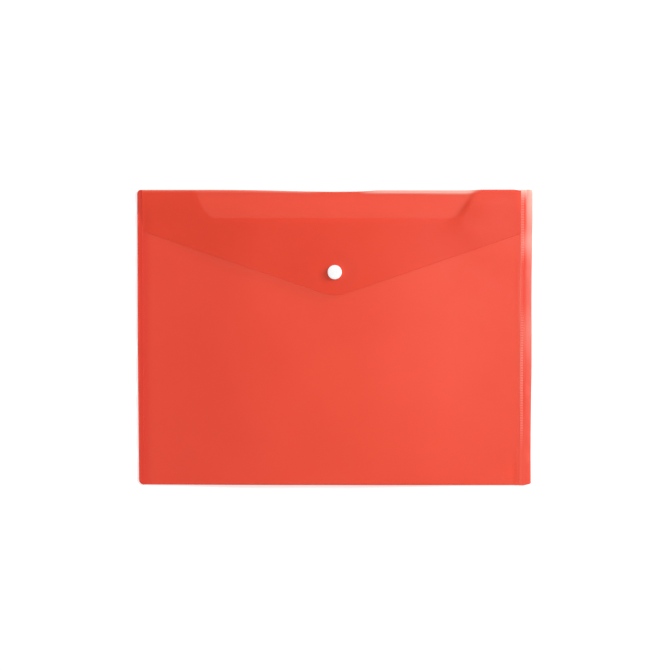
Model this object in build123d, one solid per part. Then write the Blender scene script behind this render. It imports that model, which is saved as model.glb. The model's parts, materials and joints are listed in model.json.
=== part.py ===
"""Document wallet of translucent polypropylene film, closed by a plastic popper.

One film blank is folded up at the bottom, welded down both sides and folded over at the top into a
pointed flap. Here the film is split at its folds and welds, so that each stretch is a solid of its own.

Millimetres. The wallet lies on its back: X runs along its width, +Y towards the top crease, +Z up.
The origin is the centre of the wallet's outline, on the face that it lies on.
"""

import os
from math import asin, cos, sin, sqrt

from build123d import *

# Film blank
WALLET_WIDTH = 330.0  # over both side seams
WALLET_HEIGHT = 247.6  # from the bottom fold to the top crease
FILM = 0.2  # thickness of the film
POCKET_GAP = 5.0  # depth to which the empty pocket springs open
BOTTOM_CORNER = 4.3  # radius of the die-cut corner at the bottom left
TRIM_RUN = 6.3  # slanting trim at the bottom right, along the bottom
TRIM_RISE = 1.4  # the same, up the right edge
TOP_LEFT_CORNER = 3.0  # radius of the die-cut corner at the top left
TOP_RIGHT_CORNER = 1.8

# Side seams
LEFT_SEAM = 4.3  # from the wallet's left edge to the pocket
RIGHT_SEAM = 10.1  # from the wallet's right edge to the pocket
WELD_WIDTH = 3.4  # knurled band of each weld
KNURL_PITCH = 2.1  # from one ridge of the weld to the next
KNURL_DEPTH = 0.16  # from the weld's valleys to its crests
SIDE_RUN = 9.0  # width over which the front film climbs from a weld to its flat
FOLD_PINCH = 0.1  # gap left inside the bottom fold where it runs into a weld
TAPER_SECTIONS = 7  # sections along each pinched end of the bottom fold

# Thumb cut in the front film's mouth
THUMB_DEPTH = 23.7  # below the top crease's outline
LEFT_TAB = 45.8  # mouth left of the cut, from the left weld to the cut's corner
RIGHT_TAB = 39.6
LEFT_SLANT = 9.6  # run of the cut's slanted sides
RIGHT_SLANT = 13.4
THUMB_RADIUS = 9.0  # radius of the cut's four corners

# Flap
FLAP_LENGTH = 87.9  # from the top outline to the flap's tip
FLAP_TAPER = 0.342  # climb of the flap's lower edges for each millimetre away from the tip
FLAP_TIP_RADIUS = 30.0
FLAP_CORNER_RADIUS = 3.0
FLAP_CLEARANCE = 0.3  # between the closed flap and the front film

# Popper
POPPER_DROP = 68.7  # from the top outline to the popper's axis
CAP_RADIUS = 5.9
CAP_RIM = 1.1  # height of the cap's straight rim
CAP_HEIGHT = 1.6  # height of the cap's dome over the flap
CAP_EDGE = 0.2  # chamfer that breaks the rim of each cap
PRONG_RADIUS = 1.0  # pin that is flattened to hold two pieces of the popper together
PRONG_CLEARANCE = 0.1  # around a prong in its hole
RIVET_HEAD_RADIUS = 1.6  # flattened end of a prong
RIVET_HEAD = 0.5  # height of the flattened end
SOCKET_RADIUS = 5.0
SOCKET_BASE = 0.8  # plate of the socket that lies against the flap
SOCKET_LIP = 0.5  # height of the lip that the stud snaps past
LIP_CLEARANCE = 0.15  # between the lip and the stud's head
SNAP_GROOVE = 0.3  # depth of the socket's groove behind its lip
SOCKET_CLEARANCE = 0.1  # between the socket and the stud's plate
STUD_RADIUS = 5.0
STUD_PLATE = 0.8
STUD_HEAD_RADIUS = 2.3
STUD_NECK_RADIUS = 1.95
STUD_TOP_CLEARANCE = 0.15  # between the stud's head and the rivet head above it
BACKING_RADIUS = 5.9  # cap inside the pocket that holds the stud
BACKING_PLATE = 1.2
BACKING_CLEARANCE = 0.2  # between that cap and the back film
DIMPLE_RING = 1.8  # flat floor left round the popper in the dimple that it pulls into the front film
DIMPLE_SLOPE = 11.0  # run of the dimple's slope, which the closed flap hides

# Levels and lines that follow from the sizes above
y_top = WALLET_HEIGHT / 2
y_bottom = -WALLET_HEIGHT / 2
front_z = FILM + POCKET_GAP  # underside of the front film's flat
front_top_z = front_z + FILM
flap_z = front_top_z + FLAP_CLEARANCE  # underside of the closed flap
flap_top_z = flap_z + FILM
crease_radius = flap_top_z / 2
hinge_y = y_top - crease_radius
hinge_z = crease_radius
fold_radius = front_top_z / 2
fold_y = y_bottom + fold_radius
pocket_left = -WALLET_WIDTH / 2 + LEFT_SEAM
pocket_right = WALLET_WIDTH / 2 - RIGHT_SEAM
flat_left = pocket_left + SIDE_RUN
flat_right = pocket_right - SIDE_RUN
thumb_left = pocket_left + LEFT_TAB
thumb_right = pocket_right - RIGHT_TAB
thumb_y = y_top - THUMB_DEPTH
popper_y = y_top - POPPER_DROP
hole_radius = PRONG_RADIUS + PRONG_CLEARANCE
dimple_z = FILM + BACKING_CLEARANCE + BACKING_PLATE  # underside of the dimple's floor
dimple_floor_radius = max(STUD_RADIUS, BACKING_RADIUS) + DIMPLE_RING
dimple_radius = dimple_floor_radius + DIMPLE_SLOPE
stud_z = dimple_z + FILM  # underside of the stud's plate
stud_plate_z = stud_z + STUD_PLATE
socket_z = stud_plate_z + SOCKET_CLEARANCE  # mouth of the socket
cavity_z = flap_z - SOCKET_BASE  # roof of the socket's cavity
stud_top_z = cavity_z - RIVET_HEAD - STUD_TOP_CLEARANCE


def block(x0, x1, y0, y1, z0, z1):
    """Box between two corners."""
    middle = ((x0 + x1) / 2, (y0 + y1) / 2, (z0 + z1) / 2)
    return Pos(*middle) * Box(x1 - x0, y1 - y0, z1 - z0)


def outline_prism(z0, z1):
    """Prism of the wallet's whole outline, with its die-cut corners and its slanting trim."""
    side_x = WALLET_WIDTH / 2
    edge = Polyline(
        (-side_x, y_bottom),
        (side_x - TRIM_RUN, y_bottom),
        (side_x, y_bottom + TRIM_RISE),
        (side_x, y_top),
        (-side_x, y_top),
        close=True,
    )
    face = make_face(edge).face()
    left_corner = face.vertices().sort_by_distance((-side_x, y_bottom, 0))[:1]
    face = face.fillet_2d(BOTTOM_CORNER, left_corner)
    left_corner = face.vertices().sort_by_distance((-side_x, y_top, 0))[:1]
    face = face.fillet_2d(TOP_LEFT_CORNER, left_corner)
    right_corner = face.vertices().sort_by_distance((side_x, y_top, 0))[:1]
    face = face.fillet_2d(TOP_RIGHT_CORNER, right_corner)
    return Pos(0, 0, z0) * extrude(face, z1 - z0)


class FilmStep:
    """Film that climbs from one level to another in two tangent arcs.

    The lower level is at run 0 and height 0 and the upper one at the end of the run, both on the
    film's underside.
    """

    def __init__(self, run, climb):
        self.run = run
        self.climb = climb
        self.radius = (run**2 + climb**2) / (4 * climb)
        self.turn = asin(run / (2 * self.radius))

    def low_arc(self, lift):
        """Lower arc, lifted off the underside by part of the film's thickness."""
        radius = self.radius - lift

        def at(angle):
            return radius * sin(angle), self.radius - radius * cos(angle)

        return ThreePointArc(at(0), at(self.turn / 2), at(self.turn))

    def high_arc(self, lift):
        """Upper arc, which starts where the lower one ends."""
        radius = self.radius + lift

        def at(angle):
            return self.run - radius * sin(angle), self.climb - self.radius + radius * cos(angle)

        return ThreePointArc(at(self.turn), at(self.turn / 2), at(0))

    def height(self, distance, lift):
        """Height of the lifted surface at a distance along the run."""
        low, high = self.radius - lift, self.radius + lift
        if distance <= low * sin(self.turn):
            return self.radius - sqrt(low**2 - distance**2)
        return self.climb - self.radius + sqrt(high**2 - (self.run - distance) ** 2)

    def section(self):
        """Closed section of the film over the step."""
        under = [self.low_arc(0), self.high_arc(0)]
        over = [self.low_arc(FILM), self.high_arc(FILM)]
        ends = [
            Line((0, 0), (0, FILM)),
            Line((self.run, self.climb), (self.run, self.climb + FILM)),
        ]
        return make_face(under + over + ends)


side_step = FilmStep(SIDE_RUN, POCKET_GAP)


def turned(*edges):
    """Round piece, turned about the popper's axis from its half section."""
    return Pos(0, popper_y, 0) * revolve(Plane.XZ * make_face(edges), Axis.Z)


def back_panel():
    """Rear film between the bottom fold and the top crease, with the seam margins beside both."""
    sheet = outline_prism(0, FILM)
    sheet -= block(pocket_left, pocket_right, y_bottom, fold_y, 0, FILM)
    sheet -= block(pocket_left, pocket_right, hinge_y, y_top, 0, FILM)
    return sheet


def front_panel():
    """Flat of the front film, with the thumb cut in its mouth and room for the popper's dimple."""
    edge = Polyline(
        (flat_left, fold_y),
        (flat_left, hinge_y),
        (thumb_left, hinge_y),
        (thumb_left + LEFT_SLANT, thumb_y),
        (thumb_right - RIGHT_SLANT, thumb_y),
        (thumb_right, hinge_y),
        (flat_right, hinge_y),
        (flat_right, fold_y),
        close=True,
    )
    face = make_face(edge).face()
    cut_corners = [v for v in face.vertices() if thumb_left - FILM < v.X < thumb_right + FILM]
    face = face.fillet_2d(THUMB_RADIUS, cut_corners)
    dimple_hole = Pos(0, popper_y) * Circle(dimple_radius)
    return Pos(0, 0, front_z) * extrude(face - dimple_hole, FILM)


def popper_dimple():
    """Dished round of the front film, pulled back by the closed popper, with the stud's hole."""
    return turned(
        Polyline(
            (hole_radius, dimple_z),
            (dimple_floor_radius, dimple_z),
            (dimple_radius, front_z),
            (dimple_radius, front_top_z),
            (dimple_floor_radius, stud_z),
            (hole_radius, stud_z),
            close=True,
        )
    )


def side_fold(weld_x, direction):
    """Front film that climbs from a weld, away from it in the given direction along X."""
    plane = Plane((weld_x, fold_y, FILM), x_dir=(direction, 0, 0), z_dir=(0, -direction, 0))
    return extrude(plane * side_step.section(), hinge_y - fold_y, dir=(0, 1, 0))


def weld(x0):
    """Band where the front and back films are fused, knurled by the welding tool."""
    crest_z = 2 * FILM + KNURL_DEPTH / 2
    valley_z = 2 * FILM - KNURL_DEPTH / 2
    ridges = round(WALLET_HEIGHT / KNURL_PITCH)
    pitch = WALLET_HEIGHT / ridges
    teeth = []
    for ridge in range(ridges):
        foot_y = y_bottom + ridge * pitch
        teeth += [(0, foot_y, valley_z), (0, foot_y + pitch / 2, crest_z)]
    profile = Polyline(*teeth, (0, y_top, valley_z), (0, y_top, FILM), (0, y_bottom, FILM), close=True)
    band = extrude(make_face(profile), WELD_WIDTH, dir=(1, 0, 0))
    return (Pos(x0, 0, 0) * band) & outline_prism(FILM, crest_z)


def seam_margin(x0, x1):
    """Front film left outside a weld when the seam is trimmed."""
    strip = block(x0, x1, y_bottom, y_top, FILM, 2 * FILM)
    return strip & outline_prism(FILM, 2 * FILM)


def fold_section(x, under_z, over_z, start_angle):
    """Quarter ring of film round the inside of the bottom fold, in the plane at x."""
    outer = Plane((x, fold_y, over_z / 2), x_dir=(0, 1, 0), z_dir=(1, 0, 0))
    inner = Plane((x, fold_y, (under_z + FILM) / 2), x_dir=(0, 1, 0), z_dir=(1, 0, 0))
    inner_height = (under_z - FILM) / 2
    outside = outer * EllipticalCenterArc((0, 0), fold_radius, over_z / 2, start_angle)
    inside = inner * EllipticalCenterArc((0, 0), fold_radius - FILM, inner_height, start_angle)
    ends = [Line(outside @ 0, inside @ 0), Line(outside @ 1, inside @ 1)]
    return make_face([outside, inside, *ends])


def bottom_fold(start_angle):
    """Half of the film round the pocket's bottom, pinched at both ends where it runs into the welds.

    The half that starts at 90 degrees joins the front film, and the one from 180 degrees the back.
    """
    sections = []
    for number in range(TAPER_SECTIONS):
        distance = SIDE_RUN * number / (TAPER_SECTIONS - 1)
        pinch = FOLD_PINCH * (1 - distance / SIDE_RUN)
        under_z = FILM + side_step.height(distance, 0) + pinch
        over_z = FILM + side_step.height(distance, FILM) + pinch
        sections.append((distance, under_z, over_z))
    left = [fold_section(pocket_left + d, *levels, start_angle) for d, *levels in sections]
    right = [fold_section(pocket_right - d, *levels, start_angle) for d, *levels in sections]
    return loft(left + right[::-1], ruled=True)


def top_crease():
    """Living hinge: film that turns from the back panel into the flap, round the hinge axis."""
    plane = Plane((pocket_left, hinge_y, hinge_z), x_dir=(0, 1, 0), z_dir=(1, 0, 0))
    inner = crease_radius - FILM
    ring = [
        CenterArc((0, 0), crease_radius, -90, 180),
        CenterArc((0, 0), inner, -90, 180),
        Line((0, -crease_radius), (0, -inner)),
        Line((0, inner), (0, crease_radius)),
    ]
    return extrude(plane * make_face(ring), pocket_right - pocket_left)


def flap_panel():
    """Pointed flap with a blunt tip and the hole for the popper's cap."""
    tip_y = y_top - FLAP_LENGTH
    point_y = tip_y - FLAP_TIP_RADIUS * (sqrt(1 + FLAP_TAPER**2) - 1)
    edge = Polyline(
        (pocket_left, hinge_y),
        (pocket_left, point_y - pocket_left * FLAP_TAPER),
        (0, point_y),
        (pocket_right, point_y + pocket_right * FLAP_TAPER),
        (pocket_right, hinge_y),
        close=True,
    )
    face = make_face(edge).face()
    point, *side_corners = face.vertices().sort_by(Axis.Y)[:3]
    face = face.fillet_2d(FLAP_CORNER_RADIUS, side_corners)
    face = face.fillet_2d(FLAP_TIP_RADIUS, face.vertices().sort_by_distance(point)[:1])
    hole = Pos(0, popper_y) * Circle(hole_radius)
    return Pos(0, 0, flap_z) * extrude(face - hole, FILM)


def popper_cap():
    """Domed cap on the flap, with the prong that is flattened under the socket's plate."""
    rim_z = flap_top_z + CAP_RIM
    top_z = flap_top_z + CAP_HEIGHT
    dome_rise = top_z - rim_z
    dome_radius = (CAP_RADIUS**2 + dome_rise**2) / (2 * dome_rise)
    head_z = cavity_z - RIVET_HEAD
    half = CAP_RADIUS / 2
    dome_middle = (half, top_z - dome_radius + sqrt(dome_radius**2 - half**2))
    return turned(
        ThreePointArc((0, top_z), dome_middle, (CAP_RADIUS, rim_z)),
        Polyline(
            (CAP_RADIUS, rim_z),
            (CAP_RADIUS, flap_top_z + CAP_EDGE),
            (CAP_RADIUS - CAP_EDGE, flap_top_z),
            (PRONG_RADIUS, flap_top_z),
            (PRONG_RADIUS, cavity_z),
            (RIVET_HEAD_RADIUS, cavity_z),
            (RIVET_HEAD_RADIUS, head_z),
            (0, head_z),
            (0, top_z),
        ),
    )


def popper_socket():
    """Socket under the flap: a plate with the prong's bore, a cavity and the lip that snaps."""
    lip_radius = STUD_HEAD_RADIUS + LIP_CLEARANCE
    groove_radius = lip_radius + SNAP_GROOVE
    lip_top = socket_z + SOCKET_LIP
    return turned(
        Polyline(
            (hole_radius, flap_z),
            (SOCKET_RADIUS, flap_z),
            (SOCKET_RADIUS, socket_z),
            (lip_radius, socket_z),
            (lip_radius, lip_top),
            (groove_radius, lip_top + SNAP_GROOVE),
            (groove_radius, cavity_z),
            (hole_radius, cavity_z),
            close=True,
        )
    )


def popper_stud():
    """Stud on the front film: a plate, a neck and a rounded head that the socket snaps over."""
    recess_z = stud_top_z - RIVET_HEAD
    recess_radius = RIVET_HEAD_RADIUS + PRONG_CLEARANCE
    head_z = (stud_plate_z + stud_top_z) / 2
    shoulder_z = (head_z + stud_top_z) / 2
    return turned(
        Polyline(
            (recess_radius, stud_top_z),
            (recess_radius, recess_z),
            (hole_radius, recess_z),
            (hole_radius, stud_z),
            (STUD_RADIUS, stud_z),
            (STUD_RADIUS, stud_plate_z),
            (STUD_NECK_RADIUS, stud_plate_z),
            (STUD_HEAD_RADIUS, head_z),
            (STUD_HEAD_RADIUS, shoulder_z),
            (STUD_NECK_RADIUS, stud_top_z),
            close=True,
        )
    )


def stud_backing():
    """Cap inside the pocket, whose prong holds the stud to the front film."""
    under_z = dimple_z - BACKING_PLATE
    recess_z = stud_top_z - RIVET_HEAD
    return turned(
        Polyline(
            (0, under_z),
            (BACKING_RADIUS - CAP_EDGE, under_z),
            (BACKING_RADIUS, under_z + CAP_EDGE),
            (BACKING_RADIUS, dimple_z),
            (PRONG_RADIUS, dimple_z),
            (PRONG_RADIUS, recess_z),
            (RIVET_HEAD_RADIUS, recess_z),
            (RIVET_HEAD_RADIUS, stud_top_z),
            (0, stud_top_z),
            close=True,
        )
    )


PARTS = {
    "back_panel": back_panel(),
    "front_panel": front_panel(),
    "popper_dimple": popper_dimple(),
    "left_side_fold": side_fold(pocket_left, 1),
    "right_side_fold": side_fold(pocket_right, -1),
    "left_weld": weld(pocket_left - WELD_WIDTH),
    "right_weld": weld(pocket_right),
    "left_margin": seam_margin(-WALLET_WIDTH / 2, pocket_left - WELD_WIDTH),
    "right_margin": seam_margin(pocket_right + WELD_WIDTH, WALLET_WIDTH / 2),
    "bottom_fold_front": bottom_fold(90),
    "bottom_fold_rear": bottom_fold(180),
    "top_crease": top_crease(),
    "flap_panel": flap_panel(),
    "popper_cap": popper_cap(),
    "popper_socket": popper_socket(),
    "popper_stud": popper_stud(),
    "stud_backing": stud_backing(),
}

os.makedirs("parts", exist_ok=True)
for name, shape in PARTS.items():
    export_step(shape, f"parts/{name}.step")
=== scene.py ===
"""Looks of the document wallet: translucent film sheets, knurled side seams and a white popper.

Metres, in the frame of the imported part: X along the width, +Y towards the top crease, +Z up.
Each film piece is a thin closed sheet, built round a grid of points on its middle surface.
"""

import json
from math import atan, cos, radians, sin, sqrt, tau

import bmesh
import bpy
import numpy as np
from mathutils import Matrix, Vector

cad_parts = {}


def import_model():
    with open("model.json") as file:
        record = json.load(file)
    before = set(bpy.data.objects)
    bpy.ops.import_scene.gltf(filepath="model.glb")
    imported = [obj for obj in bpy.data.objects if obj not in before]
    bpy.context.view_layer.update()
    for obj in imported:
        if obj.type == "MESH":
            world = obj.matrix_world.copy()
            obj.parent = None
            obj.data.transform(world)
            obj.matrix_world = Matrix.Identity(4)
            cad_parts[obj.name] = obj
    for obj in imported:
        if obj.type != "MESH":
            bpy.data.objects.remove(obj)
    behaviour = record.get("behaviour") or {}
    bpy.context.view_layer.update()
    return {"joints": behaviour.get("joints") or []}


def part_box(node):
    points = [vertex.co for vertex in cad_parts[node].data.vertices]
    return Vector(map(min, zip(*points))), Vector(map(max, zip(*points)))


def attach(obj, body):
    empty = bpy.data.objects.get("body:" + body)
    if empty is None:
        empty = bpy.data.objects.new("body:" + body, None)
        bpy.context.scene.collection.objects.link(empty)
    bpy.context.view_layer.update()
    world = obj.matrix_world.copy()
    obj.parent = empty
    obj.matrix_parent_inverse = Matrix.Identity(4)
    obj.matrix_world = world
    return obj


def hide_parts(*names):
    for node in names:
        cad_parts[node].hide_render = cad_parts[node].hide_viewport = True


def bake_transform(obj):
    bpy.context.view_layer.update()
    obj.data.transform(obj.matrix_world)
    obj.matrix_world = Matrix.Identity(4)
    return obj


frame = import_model()

MM = 0.001

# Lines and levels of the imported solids
back_low, back_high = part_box("back_panel")
front_low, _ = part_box("front_panel")
flap_low, flap_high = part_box("flap_panel")
crease_low, crease_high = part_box("top_crease")
dimple_low, dimple_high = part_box("popper_dimple")
cap_low, cap_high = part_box("popper_cap")
weld_low, weld_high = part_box("right_weld")

FILM = back_high.z - back_low.z
LEFT, RIGHT = back_low.x, back_high.x
POCKET_LEFT, POCKET_RIGHT = crease_low.x, crease_high.x
TOP, BOTTOM = crease_high.y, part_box("bottom_fold_front")[0].y
FOLD_Y = front_low.y
HINGE_Y, HINGE_Z = frame["joints"][0]["pos_m"][1:]
BACK_Z = FILM / 2
FRONT_Z = front_low.z + FILM / 2
FLAP_Z = flap_low.z + FILM / 2
DIMPLE_Z = dimple_low.z + FILM / 2
DIMPLE_RADIUS = (dimple_high.x - dimple_low.x) / 2
POPPER_X, POPPER_Y = (cap_low.x + cap_high.x) / 2, (cap_low.y + cap_high.y) / 2
CAP_RADIUS = (cap_high.x - cap_low.x) / 2
WELD_WIDTH = weld_high.x - weld_low.x

# Grids of the sheets
STEP = 1.6 * MM  # spacing of the columns
SIDE_COLUMNS = np.array([0, 0.15, 0.4, 0.8, 1.3, 2.0, 2.8]) * MM  # columns beside a seam, from it
FRONT_ROWS, COVERED_ROWS, FOLD_ROWS, BACK_ROWS = 90, 45, 12, 60
CREASE_ROWS, FLAP_ROWS = 9, 60
EDGE_ROWS = np.array([3.0, 2.2, 1.6, 1.1, 0.7, 0.35, 0.0]) * MM  # rows along a cut edge, from it
WELD_COLUMNS = 15
MARGIN_STEP = 0.4 * MM  # spacing of the columns outside a weld
LEAST_MARGIN_COLUMNS = 4
KNURL_ROWS = 8  # rows for each ridge

# Pocket
SLACK = 0.5 * MM  # how much the front film sags below its place on the solids
BOTTOM_SLACK = 1.6 * MM  # the same at the bottom fold, which is pressed flatter
BOTTOM_RUN = 70 * MM
LEFT_LENS_RUN = 100 * MM  # width over which the pocket thins out towards a seam
RIGHT_LENS_RUN = 135 * MM
LEFT_CLIMB = 0.09  # share of the rise that is in a steeper climb beside the left seam
LEFT_CLIMB_RUN = 8 * MM
SIDE_LIFT_RUN = 60 * MM  # width over which the back film follows a lifted seam
SAG = 0.02 * MM  # how far the front film sags beside the right weld
SAG_MIDDLE = 0.1 * MM  # how much more it sags over its middle
SAG_MIDDLE_Y = 43 * MM
SAG_MIDDLE_SPAN = 22 * MM
SAG_END = 0.3 * MM  # how much more it sags near the bottom
SAG_END_Y = BOTTOM + 11 * MM
SAG_END_SPAN = 11 * MM
SAG_STEP = (1.8 * MM, 4.6 * MM)  # where it comes down, from the weld
SAG_RUN = 45 * MM  # where it has come up again, from the weld
FILM_WAVE = 0.08 * MM  # slow waviness
WAVE_COUNT = 7  # waves that make it up
WAVE_LENGTHS = (45, 130)  # shortest and longest of them, in millimetres
DIMPLE_FLOOR = 1.3  # radius of the dimple's floor, in radii of the cap
POPPER_TENT = 22 * MM  # distance over which the rise that the popper makes in the films dies away
TAB_LIFT = 1.15 * MM  # how far the front film's right tab springs up, beside the thumb cut
TAB_LIFT_TOP = 0.15  # share of that at the crease
TAB_LIFT_RISE = (2 * MM, 13 * MM)  # where it grows to its full height, below the crease
TAB_LIFT_DEPTHS = np.array([0, 10, 19, 25, 35, 45]) * MM  # below the crease
TAB_LIFT_PLACES = np.array([120, 111.5, 105.6, 99.5, 97, 97]) * MM  # middle of its fold there
TAB_LIFT_WIDTHS = np.array([1.8, 2.9, 4.3, 8.5, 15, 30]) * MM  # half of the fold's width there
TAB_LIFT_FADE = (14 * MM, 75 * MM)  # where it dies away again, below the crease
TAB_LIFT_RUN = 40 * MM  # width over which the lifted tab comes down to the right seam

# Thumb cut
THUMB_DEPTH = 23.7 * MM
LEFT_CUT = (-116 * MM, -97 * MM)  # where the cut's rounded sides start and end
LEFT_CUT_TURN = 2.6  # how sharply the left side turns down at its start
RIGHT_CUT = (98.5 * MM, 118.6 * MM)
TAB_REACH = 2.2 * MM  # how far the tabs beside the cut reach into the crease

# Crease
CREASE_RUN = 28 * MM  # width over which the flap comes down from the crease
CREASE_HEIGHT = 0.75  # height of the crease in its middle, as a share of its height on the solids
CREASE_PINCH = 0.4  # the same at its ends
CREASE_TURN = 0.5  # tightness of its turns: 1 is round, less is boxy, more is pointed
CREASE_DIP = 1.75 * MM  # how much tighter the crease is in its middle than at its ends
CREASE_DIP_SPAN = 54 * MM
CREASE_END_DIP = 0.7 * MM  # how far the crease's outline falls at its right end
CREASE_END_RUN = 7 * MM
BULGE_SPAN = (20 * MM, 40 * MM, 109 * MM, 123 * MM)  # where the crease starts and stops bulging
BULGE_TURN = 1.7  # tightness of the upper turn there
BULGE_DROP = 1.1 * MM  # slant of the crease where it bulges over the thumb cut
BULGE_DIP = 0.6 * MM  # its outline lies this far below the crease's ends

# Flap
FLAP_TIP_RADIUS = 30 * MM
FLAP_TAPER = 0.342
FLAP_CORNER = 3 * MM
FLAP_CORNER_HEIGHT = 0.7  # height of a rounded side corner, as a share of its width
FLAP_GAP = 0.04 * MM  # between the closed flap and the front film
FLAP_PRESS = 0.25 * MM  # how deep the flap beds into the slack front film, on its left side
FLAP_PRESS_RIGHT = 0.19 * MM
FLAP_PRESS_RUN = 0.35 * MM
FLAP_PRESS_CLEAR = 4 * MM  # near the popper it doesn't
EDGE_CURL = 0.008 * MM  # the flap's cut edge curls up by this, on its right side
EDGE_CURL_RUN = 1.6 * MM

# Seams
LEFT_LIFT = 0.25 * MM  # height of the left seam's inner border over its place when pressed flat
LEFT_LIFT_GAIN = 0.05 * MM  # how much more it is at the top
LEFT_LIFT_SPAN = (-20 * MM, 110 * MM)
RIGHT_LIFT = 0.5 * MM  # the same height for the right seam
RIGHT_LIFT_GAIN = 0.75 * MM
RIGHT_LIFT_SPAN = (50 * MM, 75 * MM)
RIGHT_LIFT_MIDDLE = 0.2 * MM  # how much more it is in a stretch in the middle
RIGHT_LIFT_MIDDLE_Y = 8 * MM
RIGHT_LIFT_MIDDLE_SPAN = 20 * MM
KNURL_PITCH = 2.1 * MM
KNURL_DEPTH = 0.16 * MM
KNURL_START = 1.1 * MM  # width over which the ridges rise from the pocket's border
KNURL_END = (1.1 * MM, 0.3 * MM)  # where they fall again, from the weld's outer side
RIDGE_POWER = 1.5  # how narrow the ridges are
GROOVE_DEPTH = 0.3  # share that a groove along the weld's middle takes off them
GROOVE_WIDTH = 0.35 * MM
LEAST_PRESS = 0.05  # share of the ridges where the weld is hardly pressed
SLIGHT_PRESS = (10 * MM, 33 * MM, 60 * MM, 72 * MM)  # where it starts and stops being so
PRESS_START = (BOTTOM + 28 * MM, BOTTOM + 55 * MM)
PRESS_END = (TOP - 8 * MM, TOP - 3 * MM)
PRESS_END_LOSS = 0.8
LEFT_PRESSING = 0.2  # how high a weld's ridges and bead are, as a share of their full height
RIGHT_PRESSING = 1.0
BEAD = 0.1 * MM  # height of the bead along a weld's outer side
BEAD_WIDTH = 0.25 * MM
STRIP = 1.9 * MM  # level strip between a weld and its margin
STRIP_LIFT = 0.8  # share of the right seam's lift that is left there
MARGIN_WANDER = 0.2 * MM  # how far the right seam's trimmed edge wanders
MARGIN_WANDER_Y = 44 * MM
MARGIN_WANDER_LENGTH = 125 * MM
MARGIN_RIPPLE = 0.2 * MM
RIPPLE_RATE = 3  # how much shorter the ripples are than the film's slow waves
LEFT_BOW = 0.3 * MM  # how far the left seam's edge bows out in its middle
LEFT_BOW_SPAN = 70 * MM
BOTTOM_CORNER = 4.3 * MM
TOP_LEFT_CORNER = 3.0 * MM
TOP_RIGHT_CORNER = 1.8 * MM
TRIM_RUN = 6.3 * MM
TRIM_RISE = 1.4 * MM
TRIM_CORNER = 0.8 * MM

# Popper
TURN_STEPS = 96
ROUNDING_POINTS = 5
ROUNDING_LIMIT = 0.45  # most of a profile's side that the rounding of its end may take up
SHARP_ANGLE = radians(40)
SAME_POINT = 0.001 * MM  # points closer than this are made one
MOULD_EDGE = 0.12 * MM  # rounding of the mouldings' edges
CAP_CROWN = 0.25 * MM  # how far the cap's top falls to its edge
CAP_CROWN_POWER = 5  # how late it falls
CAP_CROWN_PLACES = (0.25, 0.5, 0.75, 0.9)  # shares of its radius
CAP_SHOULDER = 0.25 * MM  # rounding of the cap's upper edge
PRONG_RADIUS = 1.0 * MM
RIVET_RADIUS = 1.6 * MM
RIVET_HEAD = 0.5 * MM
PRONG_GAP = 0.1 * MM
SOCKET_BASE = 0.8 * MM
SOCKET_LIP = 0.5 * MM
LIP_RADIUS = 2.45 * MM
SNAP_GROOVE = 0.3 * MM
STUD_PLATE = 0.8 * MM
STUD_HEAD_RADIUS = 2.3 * MM
STUD_NECK_RADIUS = 1.95 * MM
BACKING_PLATE = 1.2 * MM

# Colours of the film
FILM_SOLID = 0.52  # share of one film that is solid colour
FILM_TINT = (1.0, 0.58, 0.5)  # what the rest lets through
FILM_TONES = (0.97, 0.066, 0.021), (1.0, 0.076, 0.026)
FILM_GLOSS = (0.34, 0.42)  # least and most roughness
FILM_SHEEN = 0.5
INSIDE_SOLID = 0.05  # the film's inner side adds little, because its outer side has its colour
CLEAR = (1.0, 1.0, 1.0)
FUSED_TONES = (0.81, 0.035, 0.007), (0.85, 0.042, 0.011)
FUSED_SHEEN = 0.34
SHEEN_PAINT = (1.0, 0.72, 0.62)  # painted sheen: pale colour that stands in for the lamps' reflection on the crease, the flap and the right seam
SHADE_PAINT = (0.9, 0.012, 0.001)  # painted shade: darker red along the crease's edge over the right tab and over the pocket's left side
FUSED_SHADE_PAINT = (0.73, 0.012, 0.001)  # the same painted shade for fused films, over the left seam

# Colours of the popper
POPPER_TONES = (0.88, 0.88, 0.875), (0.9, 0.9, 0.895)
POPPER_GLOSS = (0.3, 0.4)
NOISE_SPAN = (0.3, 0.7)  # most of a noise lies between these

# Painted sheen: share of the pale colour that stands in for the lamps' reflection
BULGE_HIGHLIGHT = (0.68, 0.76)  # painted highlight along the bulging crease, from left to right
BULGE_HIGHLIGHT_POWER = 0.5  # how late it falls at the bulge's ends
BULGE_FADE = (0.8 * MM, 1.8 * MM)  # how far it reaches into the flap, from left to right
BULGE_FADE_END = 0.25  # where it is full, as a share of the crease's depth
NOSE = (2.0 * MM, 0.2 * MM)  # reach of the crease's outermost band, from its outline
NOSE_HIGHLIGHT = 0.4  # painted highlight on that band, along a stretch of the crease's left half
NOSE_END_HIGHLIGHT = 0.25  # and at its left end
NOSE_HIGHLIGHT_SPAN = (-85 * MM, -55 * MM, -32 * MM, -8 * MM)
FLAP_SHEEN_PAINT = (  # painted sheen over the flap, from left to right, strongest on the right towards the lamps
    (POCKET_LEFT, 0.004),
    (-70 * MM, 0.01),
    (60 * MM, 0.006),
    (POCKET_RIGHT, 0.018),
)
BORDER_HIGHLIGHT = 0.1  # painted highlight along a stretch of the pocket's right border
BORDER_HIGHLIGHT_Y = 32 * MM
BORDER_HIGHLIGHT_SPAN = 26 * MM
BORDER_HIGHLIGHT_RUN = (0.3 * MM, 1.0 * MM)
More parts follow.
